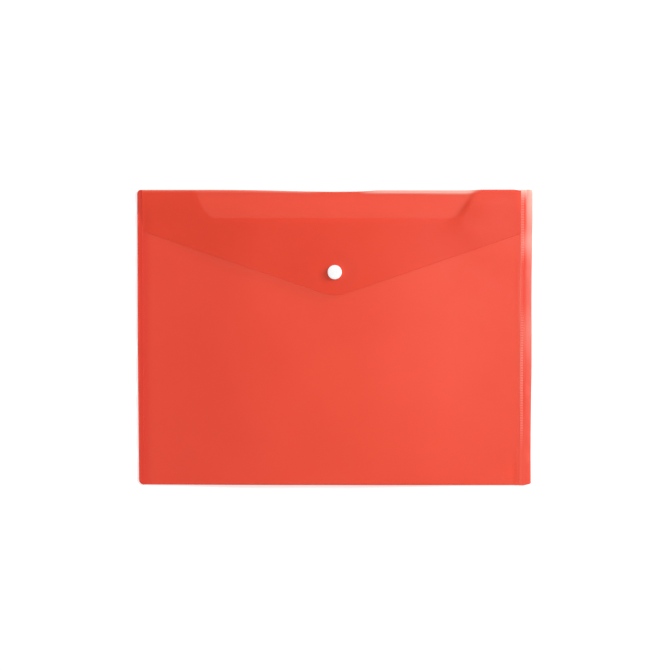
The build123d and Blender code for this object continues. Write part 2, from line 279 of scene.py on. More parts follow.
MARGIN_REFLECTION = (  # painted reflection of the lamps at the right seam's tilted edge, from its bottom to its top
    (BOTTOM + 6 * MM, 0.035),
    (BOTTOM + 30 * MM, 0.05),
    (BOTTOM + 84 * MM, 0.08),
    (BOTTOM + 144 * MM, 0.125),
    (BOTTOM + 184 * MM, 0.17),
    (TOP - 32 * MM, 0.34),
    (TOP - 12 * MM, 0.6),
    (TOP - 5 * MM, 0.63),
    (TOP, 0.8),
)
MARGIN_START = 4.2 * MM  # where it starts, from the pocket
MARGIN_BLEND = 1.5 * MM  # width over which it takes over from the weld's
MARGIN_POWER = 0.35  # how fast it grows from there to the edge: less is faster
WELD_SHEEN = (  # painted sheen over the right weld
    (BOTTOM + 50 * MM, 0.03),
    (BOTTOM + 66 * MM, 0.0),
    (BOTTOM + 84 * MM, 0.0),
    (BOTTOM + 104 * MM, 0.03),
    (BOTTOM + 128 * MM, 0.02),
    (BOTTOM + 144 * MM, 0.0),
    (TOP - 56 * MM, 0.0),
    (TOP - 44 * MM, 0.06),
    (TOP - 32 * MM, 0.0),
    (TOP - 13 * MM, 0.0),
    (TOP - 8 * MM, 0.1),
    (TOP - 4 * MM, 0.38),
    (TOP, 0.85),
)
PRESS_SHEEN = (  # painted sheen where that weld is pressed
    (-62 * MM, 0.045),
    (-45 * MM, 0.09),
    (-37 * MM, 0.09),
    (-28 * MM, 0.055),
    (-10 * MM, 0.05),
    (6 * MM, 0.0),
    (60 * MM, 0.045),
)
RIDGE_GLINT = 0.2  # painted glints on its ridges
BORDER_LINE_HIGHLIGHT = 0.18  # painted highlight along its inner border
BORDER_LINE_WIDTH = 0.6 * MM
BORDER_LINE_SPAN = (-75 * MM, -30 * MM)  # where that line rises
PATCH_SHEEN = (  # painted sheen in patches over the seam, with their place, half their length and the share
    (80 * MM, 9 * MM, 0.16),
    (6 * MM, 14 * MM, 0.095),
)

# Painted shade: share of the darker colour that stands in for shade
CREASE_SHADE = 0.6  # painted shade along the crease's edge over the right tab
BORDER_SHADE = 0.4  # painted shade along the pocket's left border, which faces away from the lamps
BORDER_SHADE_RUN = 8 * MM
SIDE_SHADE = 0.2  # painted shade over its left side, away from the lamps
SIDE_SHADE_RUN = (60 * MM, 150 * MM)
LEFT_SEAM_SHADE = 0.5  # painted shade over the left seam, which faces away from the lamps
LEFT_SEAM_SHADE_LOSS = 0.12  # how much less it is at the top
LEFT_SEAM_SHADE_SPAN = (60 * MM, 100 * MM)
LEFT_LINE_SHADE = 0.25  # how much more it is along the seam's inner border
LEFT_LINE_WIDTH = 0.8 * MM  # half its width, and its distance from the border

# Photograph's view and light
CAMERA_DISTANCE = 1.2
CAMERA_TILT = radians(2.6)
CAMERA_YAW = radians(0.67)
CAMERA_LENS = 76.93
CAMERA_AIM = Vector((0.2 * MM, 2.5 * MM, 0))
FLOOR_SIZE = 4.0  # half its width
FLOOR_Z = -0.05 * MM
FLOOR_COLOUR = (0.8, 0.8, 0.8, 1)
FLOOR_GLOW = (0.33, 0.7)  # round the wallet, and far from it
FLOOR_GLOW_SPAN = (0.4, 2.5)  # distances between which it grows
WORLD_LEVEL = 0.44


def smooth(x, low, high):
    """Share of the way from low to high, eased at both ends."""
    t = np.clip((x - low) / (high - low), 0, 1)
    return t * t * (3 - 2 * t)


def bump(x, middle, width):
    """Bell of height 1 round a middle."""
    return np.exp(-(((x - middle) / width) ** 2))


def waves(x, y, seed):
    """Slow random waviness between about -1 and 1, the same on every run."""
    random = np.random.default_rng(seed)
    height = np.zeros(np.broadcast(x, y).shape)
    for _ in range(WAVE_COUNT):
        angle = random.uniform(0, tau)
        length = random.uniform(*WAVE_LENGTHS) * MM
        phase = random.uniform(0, tau)
        height += np.sin((x * cos(angle) + y * sin(angle)) * tau / length + phase)
    return height / sqrt(WAVE_COUNT)


def film_sheet(name, middle, thickness, relief, masks, materials):
    """Closed sheet round a grid of points on its middle surface.

    The outside is the side that the cross product of the row and column directions points to. The
    relief is added there. The outside and the rim take the first material and the inside the second.
    The masks, from 0 to 1, are kept with the points for the materials.
    """
    rows, columns, _ = middle.shape
    normal = np.cross(np.gradient(middle, axis=0), np.gradient(middle, axis=1))
    normal /= np.linalg.norm(normal, axis=2, keepdims=True)
    relief = np.broadcast_to(relief, (rows, columns))[..., None]
    outer = middle + normal * (thickness / 2 + relief)
    inner = middle - normal * thickness / 2
    count = rows * columns
    number = np.arange(count).reshape(rows, columns)
    corners = [number[:-1, :-1], number[1:, :-1], number[1:, 1:], number[:-1, 1:]]
    outside = np.stack(corners, axis=2).reshape(-1, 4)
    inside = outside[:, ::-1] + count
    sides = [number[:-1, 0], number[-1, :-1], number[:0:-1, -1], number[0, :0:-1]]
    border = np.concatenate(sides)
    following = np.roll(border, -1)
    rim = np.stack([following, border, border + count, following + count], axis=1)
    points = np.concatenate([outer.reshape(-1, 3), inner.reshape(-1, 3)])
    faces = np.concatenate([outside, inside, rim])
    mesh = bpy.data.meshes.new(name)
    mesh.from_pydata(points.tolist(), [], faces.tolist())
    is_inside = np.zeros(len(faces), dtype=np.int32)
    is_inside[len(outside) : 2 * len(outside)] = 1
    is_smooth = np.ones(len(faces), dtype=bool)
    is_smooth[2 * len(outside) :] = False
    mesh.polygons.foreach_set("material_index", is_inside)
    mesh.polygons.foreach_set("use_smooth", is_smooth)
    for material in materials:
        mesh.materials.append(material)
    # Masks of painted sheen and painted shade, kept with the points for the materials.
    for mask in ("whitening", "deepening"):
        values = np.broadcast_to(masks.get(mask, 0), (rows, columns)).ravel()
        attribute = mesh.attributes.new(mask, "FLOAT", "POINT")
        attribute.data.foreach_set("value", np.tile(values, 2).astype(np.float32))
    mesh.update()
    sheet = bpy.data.objects.new(name, mesh)
    bpy.context.scene.collection.objects.link(sheet)
    return sheet


# Shape of the film


def left_seam_lift(y):
    """Height of the left seam's inner border over its place when pressed flat."""
    return LEFT_LIFT + LEFT_LIFT_GAIN * smooth(y, *LEFT_LIFT_SPAN)


def right_seam_lift(y):
    """The same for the right seam, which the sprung crease lifts most near the top."""
    top = RIGHT_LIFT_GAIN * smooth(y, *RIGHT_LIFT_SPAN)
    middle = RIGHT_LIFT_MIDDLE * bump(y, RIGHT_LIFT_MIDDLE_Y, RIGHT_LIFT_MIDDLE_SPAN)
    return top + middle + RIGHT_LIFT


def thumb_drop(x):
    """How far the front film's mouth lies below the crease."""
    along = np.clip((x - LEFT_CUT[0]) / (LEFT_CUT[1] - LEFT_CUT[0]), 0, 1)
    left = 1 - (1 - along) ** LEFT_CUT_TURN
    return np.minimum(left, 1 - smooth(x, *RIGHT_CUT))


def mouth_y(x):
    """Upper border of the front film."""
    tab_y = HINGE_Y + TAB_REACH
    return tab_y - (tab_y - (TOP - THUMB_DEPTH)) * thumb_drop(x)


def back_height(x, y):
    """Middle of the back film, which rises a little towards lifted seams."""
    left = left_seam_lift(y) * (1 - smooth(x - POCKET_LEFT, 0, SIDE_LIFT_RUN))
    right = right_seam_lift(y) * (1 - smooth(POCKET_RIGHT - x, 0, SIDE_LIFT_RUN))
    return BACK_Z + left + right


def lens(x):
    """Share of its full depth that the pocket has at x, from 0 at the seams."""
    inset = x - POCKET_LEFT
    climb = LEFT_CLIMB * smooth(inset, 0, LEFT_CLIMB_RUN)
    left = climb + (1 - LEFT_CLIMB) * smooth(inset, 0, LEFT_LENS_RUN)
    return left * smooth(POCKET_RIGHT - x, 0, RIGHT_LENS_RUN)


def tab_lift(x, y):
    """Rise of the films over the right tab, which springs up beside the thumb cut."""
    below = np.clip(TOP - y, 0, TAB_LIFT_DEPTHS[-1])
    fold_x = np.interp(below, TAB_LIFT_DEPTHS, TAB_LIFT_PLACES)
    half = np.interp(below, TAB_LIFT_DEPTHS, TAB_LIFT_WIDTHS)
    beside_cut = smooth(x - fold_x, -half, half) * smooth(POCKET_RIGHT - x, 0, TAB_LIFT_RUN)
    strength = TAB_LIFT_TOP + (1 - TAB_LIFT_TOP) * smooth(below, *TAB_LIFT_RISE)
    return TAB_LIFT * beside_cut * strength * (1 - smooth(TOP - y, *TAB_LIFT_FADE))


def rightness(x):
    """Share of the way from the flap's left side to its right side, which differ."""
    return smooth(x, POCKET_LEFT / 3, POCKET_RIGHT / 3)


def front_rest(x, y):
    """Middle of the front film before the popper dishes it: slack, and falling to both seams."""
    seam_z = back_height(x, y) + FILM
    slack = SLACK + (BOTTOM_SLACK - SLACK) * (1 - smooth(y - FOLD_Y, 0, BOTTOM_RUN))
    full_z = FRONT_Z - slack + FILM_WAVE * waves(x, y, seed=3)
    inset = POCKET_RIGHT - x
    sag = SAG + SAG_END * bump(y, SAG_END_Y, SAG_END_SPAN)
    sag = sag + SAG_MIDDLE * bump(y, SAG_MIDDLE_Y, SAG_MIDDLE_SPAN)
    level = seam_z + (full_z - seam_z) * lens(x)
    level = level - sag * smooth(inset, *SAG_STEP) * (1 - smooth(inset, SAG_STEP[1], SAG_RUN))
    level = level + tab_lift(x, y)
    distance = np.hypot(x - POPPER_X, y - POPPER_Y)
    by_popper = np.exp(-np.maximum(distance - CAP_RADIUS, 0) / POPPER_TENT)
    level = level + (FLAP_Z - FILM - FLAP_GAP - level) * by_popper
    press = FLAP_PRESS + (FLAP_PRESS_RIGHT - FLAP_PRESS) * rightness(x)
    press = press * (1 - np.exp(-np.maximum(distance - CAP_RADIUS, 0) / FLAP_PRESS_CLEAR))
    outside = (flap_edge_y(x) - y) * cos(atan(FLAP_TAPER))
    return level - press * (1 - smooth(outside, 0, FLAP_PRESS_RUN))


def front_height(x, y):
    """Middle of the front film."""
    level = front_rest(x, y)
    distance = np.hypot(x - POPPER_X, y - POPPER_Y)
    dish = 1 - smooth(distance, DIMPLE_FLOOR * CAP_RADIUS, DIMPLE_RADIUS)
    return level + (DIMPLE_Z - level) * dish


def flap_edge_y(x):
    """Lower border of the flap: a V with a blunt tip and rounded side corners."""
    tip_y = flap_low.y
    point_y = tip_y - FLAP_TIP_RADIUS * (sqrt(1 + FLAP_TAPER**2) - 1)
    straight = point_y + np.abs(x) * FLAP_TAPER
    reach = FLAP_TIP_RADIUS * sin(atan(FLAP_TAPER))
    tip = tip_y + FLAP_TIP_RADIUS - np.sqrt(np.maximum(FLAP_TIP_RADIUS**2 - x**2, 0))
    edge = np.where(np.abs(x) < reach, tip, straight)
    inset = np.minimum(x - POCKET_LEFT, POCKET_RIGHT - x)
    missing = FLAP_CORNER - np.minimum(inset, FLAP_CORNER)
    return edge + FLAP_CORNER_HEIGHT * (FLAP_CORNER - np.sqrt(FLAP_CORNER**2 - missing**2))


def crease_top(x):
    """Middle of the film where the crease turns into the flap."""
    back_z = back_height(x, HINGE_Y)
    depth = (FLAP_Z - back_z) * (CREASE_PINCH + (CREASE_HEIGHT - CREASE_PINCH) * lens(x))
    return back_z + depth + tab_lift(x, HINGE_Y)


def flap_height(x, y):
    """Middle of the closed flap: it lies on the front film, and the crease and popper hold it up."""
    level = front_rest(x, y) + FILM + FLAP_GAP
    by_crease = 1 - smooth(HINGE_Y - y, 0, CREASE_RUN)
    crease_z = crease_top(x) + tab_lift(x, y) - tab_lift(x, HINGE_Y)
    level = level + (crease_z - level) * by_crease
    inset = (y - flap_edge_y(x)) * cos(atan(FLAP_TAPER))
    curl = EDGE_CURL * rightness(x)
    return level + curl * (1 - smooth(inset, 0, EDGE_CURL_RUN))


def rows_to_edge(start_y, edge_y, count):
    """Rows from one line to a cut edge, with the last ones close along that edge."""
    to_edge = np.sign(edge_y - start_y)
    for share in np.linspace(0, 1, count)[:-1]:
        yield start_y + (edge_y - to_edge * EDGE_ROWS[0] - start_y) * share
    for inset in EDGE_ROWS:
        yield edge_y - to_edge * inset


def pocket_columns():
    """Places of the sheets' columns, closer together at both sides."""
    near = SIDE_COLUMNS[:-1]
    first, last = POCKET_LEFT + SIDE_COLUMNS[-1], POCKET_RIGHT - SIDE_COLUMNS[-1]
    between = np.linspace(first, last, round((last - first) / STEP) + 1)
    return np.concatenate([POCKET_LEFT + near, between, (POCKET_RIGHT - near)[::-1]])


def pocket_sheet(materials):
    """Front film, bottom fold and back film, in one piece from the mouth round to the crease."""
    x = pocket_columns()
    points = []
    fold_y, edge_y = np.full_like(x, FOLD_Y), flap_edge_y(x)
    open_rows = [*rows_to_edge(fold_y, edge_y, FRONT_ROWS)]
    covered_rows = [*rows_to_edge(edge_y, mouth_y(x), COVERED_ROWS)]
    bedded_row = edge_y + FLAP_PRESS_RUN
    for y in [*open_rows, bedded_row, *covered_rows[1:]][::-1]:
        points.append(np.stack([x, y, front_height(x, y)], axis=1))
    front_z, back_z = front_height(x, FOLD_Y), back_height(x, FOLD_Y)
    depth = FOLD_Y - BOTTOM - FILM / 2
    for angle in np.linspace(0, tau / 2, FOLD_ROWS)[1:-1]:
        y = np.full_like(x, FOLD_Y - depth * sin(angle))
        z = (front_z + back_z) / 2 + (front_z - back_z) / 2 * cos(angle)
        points.append(np.stack([x, y, z], axis=1))
    for y in np.linspace(FOLD_Y, HINGE_Y, BACK_ROWS):
        points.append(np.stack([x, np.full_like(x, y), back_height(x, y)], axis=1))
    points = np.array(points)
    # Painted highlight along a stretch of the right border, and painted shade along the left border
    # and over the left side, which face away from the lamps.
    right_edge_highlight = BORDER_HIGHLIGHT * bump(points[..., 1], BORDER_HIGHLIGHT_Y, BORDER_HIGHLIGHT_SPAN)
    inset = x - POCKET_LEFT
    border = BORDER_SHADE * (1 - smooth(inset, 0, BORDER_SHADE_RUN))
    masks = {
        "whitening": right_edge_highlight * (1 - smooth(POCKET_RIGHT - x, *BORDER_HIGHLIGHT_RUN)),
        "deepening": border + SIDE_SHADE * (1 - smooth(inset, *SIDE_SHADE_RUN)),
    }
    sheet = film_sheet("pocket_sheet", points, FILM, 0, masks, materials)
    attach(sheet, "pocket")
    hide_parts("back_panel", "front_panel", "popper_dimple", "left_side_fold")
    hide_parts("right_side_fold", "bottom_fold_front", "bottom_fold_rear")


def flap_sheet(materials):
    """Top crease and flap, in one piece from the back film round to the flap's edge."""
    x = pocket_columns()
    points = []
    back_z, flap_z = back_height(x, HINGE_Y), crease_top(x)
    bulge = smooth(x, *BULGE_SPAN[:2]) * (1 - smooth(x, *BULGE_SPAN[2:]))
    middle_z = (flap_z + back_z) / 2
    nose_z = middle_z + (flap_z - BULGE_DROP - middle_z) * bulge
    dip = CREASE_DIP * bump(x, 0, CREASE_DIP_SPAN) * (1 - bulge) + BULGE_DIP * bulge
    dip = dip + CREASE_END_DIP * (1 - smooth(POCKET_RIGHT - x, 0, CREASE_END_RUN))
    depth = TOP - HINGE_Y - FILM / 2 - dip
    low_turn = CREASE_TURN + (1 - CREASE_TURN) * bulge
    high_turn = CREASE_TURN + (BULGE_TURN - CREASE_TURN) * bulge
    for angle in np.linspace(0, tau / 4, CREASE_ROWS)[:-1]:
        y = HINGE_Y + depth * sin(angle) ** low_turn
        z = nose_z - (nose_z - back_z) * cos(angle) ** low_turn
        points.append(np.stack([x, y, z], axis=1))
    for angle in np.linspace(0, tau / 4, CREASE_ROWS)[:-1]:
        y = HINGE_Y + depth * cos(angle) ** high_turn
        z = nose_z + (flap_z - nose_z) * sin(angle) ** high_turn
        points.append(np.stack([x, y, z], axis=1))
    for y in rows_to_edge(np.full_like(x, HINGE_Y), flap_edge_y(x), FLAP_ROWS):
        points.append(np.stack([x, y, flap_height(x, y)], axis=1))
    points = np.array(points)
    y = points[..., 1]
    along = smooth(x, BULGE_SPAN[1], BULGE_SPAN[2])
    reach = BULGE_FADE[0] + (BULGE_FADE[1] - BULGE_FADE[0]) * along
    palest = BULGE_HIGHLIGHT[0] + (BULGE_HIGHLIGHT[1] - BULGE_HIGHLIGHT[0]) * along
    by_tab = smooth(x, *BULGE_SPAN[2:])
    tapered = HINGE_Y + depth * by_tab
    fading = smooth(y, tapered - reach, tapered + BULGE_FADE_END * depth)
    sheen_over_flap = np.interp(x, *zip(*FLAP_SHEEN_PAINT))
    left = NOSE_END_HIGHLIGHT + (NOSE_HIGHLIGHT - NOSE_END_HIGHLIGHT) * smooth(x, *NOSE_HIGHLIGHT_SPAN[:2])
    left = left * (1 - smooth(x, *NOSE_HIGHLIGHT_SPAN[2:]))
    by_nose = smooth(y, HINGE_Y + depth - NOSE[0], HINGE_Y + depth - NOSE[1])
    # Painted highlights on the bulging crease and the crease's outer band, painted sheen over the
    # flap, and painted shade along the crease's edge over the right tab.
    masks = {
        "whitening": palest * bulge**BULGE_HIGHLIGHT_POWER * fading + left * by_nose + sheen_over_flap,
        "deepening": CREASE_SHADE * by_tab * by_nose,
    }
    sheet = film_sheet("flap_sheet", points, FILM, 0, masks, materials)
    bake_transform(sheet)
    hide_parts("top_crease", "flap_panel")


def corner_cut(inset, radius):
    """How much a rounded corner takes off the end of a strip, at an inset from its side."""
    missing = radius - np.clip(inset, 0, radius)
    return radius - np.sqrt(radius**2 - missing**2)


def weld_press(across, y):
    """How hard a weld is pressed, from 0 to 1: less in some stretches, and at its upper end."""
    welded = 1 - smooth(across, WELD_WIDTH - KNURL_END[0], WELD_WIDTH - KNURL_END[1])
    slight = smooth(y, *SLIGHT_PRESS[:2]) * (1 - smooth(y, *SLIGHT_PRESS[2:]))
    pressed = (1 - (1 - LEAST_PRESS) * slight) * smooth(y, *PRESS_START)
    ended = 1 - PRESS_END_LOSS * smooth(y, *PRESS_END)
    return welded * ended * (LEAST_PRESS + (1 - LEAST_PRESS) * pressed)


def knurl(across, y):
    """Height of a weld's ridges, from 0 to 1."""
    ridge = (0.5 + 0.5 * np.cos((y - BOTTOM) * tau / KNURL_PITCH)) ** RIDGE_POWER
    groove = bump(across, WELD_WIDTH / 2, GROOVE_WIDTH)
    return weld_press(across, y) * ridge * (1 - GROOVE_DEPTH * groove)


def left_masks(across, y):
    """Painted shade over the left seam, which faces away from the lamps, most along its inner border.
    """
    line = LEFT_LINE_SHADE * bump(across, LEFT_LINE_WIDTH, LEFT_LINE_WIDTH)
    base = LEFT_SEAM_SHADE - LEFT_SEAM_SHADE_LOSS * smooth(y, *LEFT_SEAM_SHADE_SPAN)
    return {"deepening": base + line * smooth(y, BOTTOM, 0)}


def right_masks(across, y):
    """Painted sheen over the right seam: glints on its ridges, and the lamps' reflection at its top
    and over its margin, palest at the edge.
    """
    width = RIGHT - POCKET_RIGHT
    edge = np.interp(y, *zip(*MARGIN_REFLECTION))
    margin = np.clip((across - MARGIN_START) / (width - MARGIN_START), 0, 1) ** MARGIN_POWER
    inner = 1 - smooth(across, MARGIN_START, MARGIN_START + MARGIN_BLEND)
    end = np.interp(y, *zip(*WELD_SHEEN))
    patches = sum(share * bump(y, place, half) for place, half, share in PATCH_SHEEN)
    patches = patches * smooth(across, 0, MARGIN_START)
    line = BORDER_LINE_HIGHLIGHT * bump(across, 0, BORDER_LINE_WIDTH) * smooth(y, *BORDER_LINE_SPAN)
    weld = np.interp(y, *zip(*PRESS_SHEEN)) * weld_press(across, y)
    weld = (weld + RIDGE_GLINT * knurl(across, y)) * smooth(across, 0, KNURL_START)
    return {"whitening": weld + edge * margin + inner * end + patches + line}


def seam(name, border_x, edge_x, lift, fall, pressing, wander, cuts, masks, replaced, materials):
    """Fused films of one side seam, from the pocket's border out to the trimmed edge.

    The seam comes down from its lifted border as fall says, with the share of the lift that is left at
    each distance from the border. The cuts are what its upper and lower end lack at an inset from its
    edge.
    """
    outward = 1 if edge_x > border_x else -1
    width = abs(edge_x - border_x)
    columns = max(LEAST_MARGIN_COLUMNS, round((width - WELD_WIDTH) / MARGIN_STEP))
    inside = np.linspace(0, WELD_WIDTH, WELD_COLUMNS)
    outside = np.linspace(WELD_WIDTH, width, columns)
    across = np.concatenate([inside, outside[1:]])
    if outward < 0:
        across = across[::-1]
    x = border_x + outward * across
    top_cut, bottom_cut = cuts
    rows = round((TOP - BOTTOM) / KNURL_PITCH) * KNURL_ROWS
    high = TOP - top_cut(width - across)
    low = BOTTOM + bottom_cut(width - across)
    share = np.linspace(0, 1, rows + 1)[:, None]
    y = high + (low - high) * share
    by_edge = smooth(across, WELD_WIDTH, width)
    x = x - outward * wander(y) * by_edge
    ripple = MARGIN_RIPPLE * (1 + np.tanh(waves(0, RIPPLE_RATE * y, seed=5))) * by_edge
    z = FILM + lift(y) * np.interp(across, *zip(*fall)) + ripple
    ridges = KNURL_DEPTH * knurl(across, y) * smooth(across, 0, KNURL_START)
    relief = pressing * (ridges + BEAD * bump(across, WELD_WIDTH, BEAD_WIDTH))
    points = np.stack([x, y, z], axis=2)
    strip = film_sheet(name, points, 2 * FILM, relief, masks(across, y), materials)
    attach(strip, "pocket")
    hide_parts(*replaced)


def left_seam(materials):
    """Narrow seam, creased along the pocket."""

    def top_cut(inset):
        return corner_cut(inset, TOP_LEFT_CORNER)

    def bottom_cut(inset):
        return corner_cut(inset, BOTTOM_CORNER)

    def wander(y):
        return -LEFT_BOW * bump(y, 0, LEFT_BOW_SPAN)

    fall = [(0, 1), (POCKET_LEFT - LEFT, 0)]
    nodes = ("left_weld", "left_margin")
    cuts = (top_cut, bottom_cut)
    sides = (POCKET_LEFT, LEFT)
    shape = (left_seam_lift, fall, LEFT_PRESSING, wander, cuts)
    seam("left_seam", *sides, *shape, left_masks, nodes, materials)


def right_seam(materials):
    """Wide seam with a slanting trim at its lower end."""

    def top_cut(inset):
        return corner_cut(inset, TOP_RIGHT_CORNER)

    def bottom_cut(inset):
        return TRIM_RISE * (1 - np.clip(inset / TRIM_RUN, 0, 1)) + corner_cut(inset, TRIM_CORNER)

    def wander(y):
        return MARGIN_WANDER * (2 + np.cos((y - MARGIN_WANDER_Y) * tau / MARGIN_WANDER_LENGTH))

    strip = [(WELD_WIDTH, STRIP_LIFT), (WELD_WIDTH + STRIP, STRIP_LIFT)]
    fall = [(0, 1), *strip, (RIGHT - POCKET_RIGHT, 0)]
    nodes = ("right_weld", "right_margin")
    cuts = (top_cut, bottom_cut)
    sides = (POCKET_RIGHT, RIGHT)
    shape = (right_seam_lift, fall, RIGHT_PRESSING, wander, cuts)
    seam("right_seam", *sides, *shape, right_masks, nodes, materials)


# Popper


def eased(corners, closed):
    """Profile with its corners rounded, where each corner has a radius, a height and a rounding."""
    points = []
    count = len(corners)
    for index, (*corner, rounding) in enumerate(corners):
        corner = np.array(corner)
        if not closed and index in (0, count - 1):
            points.append(corner)
            continue
        ends = []
        for neighbour in (corners[index - 1], corners[(index + 1) % count]):
            side = np.array(neighbour[:2]) - corner
            length = np.linalg.norm(side)
            ends.append(corner + side / length * min(rounding, ROUNDING_LIMIT * length))
        for share in np.linspace(0, 1, ROUNDING_POINTS):
            straight = ends[0] + (ends[1] - ends[0]) * share
            points.append(straight + 2 * share * (1 - share) * (corner - (ends[0] + ends[1]) / 2))
    return np.array(points)


def turned(node, body, corners, closed, material):
    """Moulding turned round the popper's axis from a profile that runs clockwise, seen with +Z up."""
    profile = eased(corners, closed)
    angles = np.arange(TURN_STEPS) * tau / TURN_STEPS
    radius, height = profile[:, :1], profile[:, 1:]
    x = POPPER_X + radius * np.cos(angles)
    y = POPPER_Y + radius * np.sin(angles)
    z = height + 0 * angles
    points = np.stack([x, y, z], axis=2).reshape(-1, 3)
    rows = len(profile)
    number = np.arange(rows * TURN_STEPS).reshape(rows, TURN_STEPS)
    upper = number if closed else number[:-1]
    lower = np.roll(number, -1, axis=0) if closed else number[1:]
    quads = np.stack([upper, lower, np.roll(lower, -1, axis=1), np.roll(upper, -1, axis=1)], axis=2)
    mesh = bpy.data.meshes.new(node)
    mesh.from_pydata(points.tolist(), [], quads.reshape(-1, 4).tolist())
    shape = bmesh.new()
    shape.from_mesh(mesh)
    bmesh.ops.remove_doubles(shape, verts=shape.verts, dist=SAME_POINT)
    bmesh.ops.recalc_face_normals(shape, faces=shape.faces)
    shape.to_mesh(mesh)
    shape.free()
    mesh.polygons.foreach_set("use_smooth", np.ones(len(mesh.polygons), dtype=bool))
    mesh.set_sharp_from_angle(angle=SHARP_ANGLE)
    mesh.materials.append(material)
    piece = bpy.data.objects.new(node + "_moulding", mesh)
    bpy.context.scene.collection.objects.link(piece)
    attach(piece, body)
    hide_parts(node)


def cap(material):
    """Cap on the flap, with a slightly domed top and a prong flattened under the socket's plate."""
    under, rim = flap_high.z, cap_high.z - CAP_CROWN
    cavity = flap_low.z - SOCKET_BASE
    corners = [(0, cap_high.z, 0)]
    for share in CAP_CROWN_PLACES:
        height = cap_high.z - CAP_CROWN * share**CAP_CROWN_POWER
        corners.append((CAP_RADIUS * share, height, MOULD_EDGE))
    corners += [
        (CAP_RADIUS, rim, CAP_SHOULDER),
        (CAP_RADIUS, under, 1.5 * MOULD_EDGE),
        (PRONG_RADIUS, under, 0),
        (PRONG_RADIUS, cavity, 0),
        (RIVET_RADIUS, cavity, 0),
        (RIVET_RADIUS, cap_low.z, MOULD_EDGE),
        (0, cap_low.z, 0),
    ]
    turned("popper_cap", "flap", corners, False, material)


def socket(material):
    """Socket under the flap, with the lip that the stud snaps past."""
    low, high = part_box("popper_socket")
    outer, bore = (high.x - low.x) / 2, PRONG_RADIUS + PRONG_GAP
    cavity = high.z - SOCKET_BASE
    corners = [
        (bore, high.z, 0),
        (outer, high.z, MOULD_EDGE),
        (outer, low.z, 2 * MOULD_EDGE),
        (LIP_RADIUS, low.z, MOULD_EDGE),
        (LIP_RADIUS, low.z + SOCKET_LIP, MOULD_EDGE),
        (LIP_RADIUS + SNAP_GROOVE, low.z + SOCKET_LIP + SNAP_GROOVE, MOULD_EDGE),
        (LIP_RADIUS + SNAP_GROOVE, cavity, MOULD_EDGE),
        (bore, cavity, 0),
    ]
    turned("popper_socket", "flap", corners, True, material)


def stud(material):
    """Stud on the front film, with the rounded head that the socket snaps over."""
    low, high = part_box("popper_stud")
    outer, bore = (high.x - low.x) / 2, PRONG_RADIUS + PRONG_GAP
    plate = low.z + STUD_PLATE
    head = (plate + high.z) / 2
    recess = high.z - RIVET_HEAD
    corners = [
        (RIVET_RADIUS + PRONG_GAP, high.z, 0),
        (STUD_NECK_RADIUS, high.z, MOULD_EDGE),
        (STUD_HEAD_RADIUS, (head + high.z) / 2, 3 * MOULD_EDGE),
        (STUD_HEAD_RADIUS, head, 3 * MOULD_EDGE),
        (STUD_NECK_RADIUS, plate, MOULD_EDGE),
        (outer, plate, 2 * MOULD_EDGE),
        (outer, low.z, MOULD_EDGE),
        (bore, low.z, 0),
        (bore, recess, 0),
        (RIVET_RADIUS + PRONG_GAP, recess, 0),
    ]
    turned("popper_stud", "pocket", corners, True, material)


def backing(material):
    """Cap inside the pocket, whose prong holds the stud."""
    low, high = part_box("stud_backing")
    outer = (high.x - low.x) / 2
    plate, recess = low.z + BACKING_PLATE, high.z - RIVET_HEAD
    corners = [
        (0, high.z, 0),
        (RIVET_RADIUS, high.z, MOULD_EDGE),
        (RIVET_RADIUS, recess, 0),
        (PRONG_RADIUS, recess, 0),
        (PRONG_RADIUS, plate, 0),
        (outer, plate, MOULD_EDGE),
        (outer, low.z, 2 * MOULD_EDGE),
        (0, low.z, 0),
    ]
    turned("stud_backing", "pocket", corners, False, material)


# Materials


def new_material(name):
    """Material with its nodes, their links and its main shader."""
    material = bpy.data.materials.new(name)
    material.use_nodes = True
    nodes = material.node_tree.nodes
    return material, nodes, material.node_tree.links, nodes["Principled BSDF"]


def noise(nodes, links, scale, detail):
    """Noise in the object's own coordinates, with its scale in features per metre."""
    place = nodes.new("ShaderNodeTexCoord")
    texture = nodes.new("ShaderNodeTexNoise")
    texture.inputs["Scale"].default_value = scale
    texture.inputs["Detail"].default_value = detail
    links.new(place.outputs["Object"], texture.inputs["Vector"])
    return texture.outputs["Fac"]


def ramp(nodes, links, factor, low, high):
    """Noise turned into a value or colour between two ends."""
    node = nodes.new("ShaderNodeValToRGB")
    for element, place, value in zip(node.color_ramp.elements, NOISE_SPAN, (low, high)):
        element.position = place
        element.color = (*value, 1) if isinstance(value, tuple) else (value, value, value, 1)
    links.new(factor, node.inputs["Fac"])
    return node.outputs["Color"]


def grain(nodes, links, shader, scale, distance, strength):
    """Fine bump on a surface."""
    node = nodes.new("ShaderNodeBump")
    node.inputs["Strength"].default_value = strength
    node.inputs["Distance"].default_value = distance
    links.new(noise(nodes, links, scale, detail=2), node.inputs["Height"])
    links.new(node.outputs["Normal"], shader.inputs["Normal"])


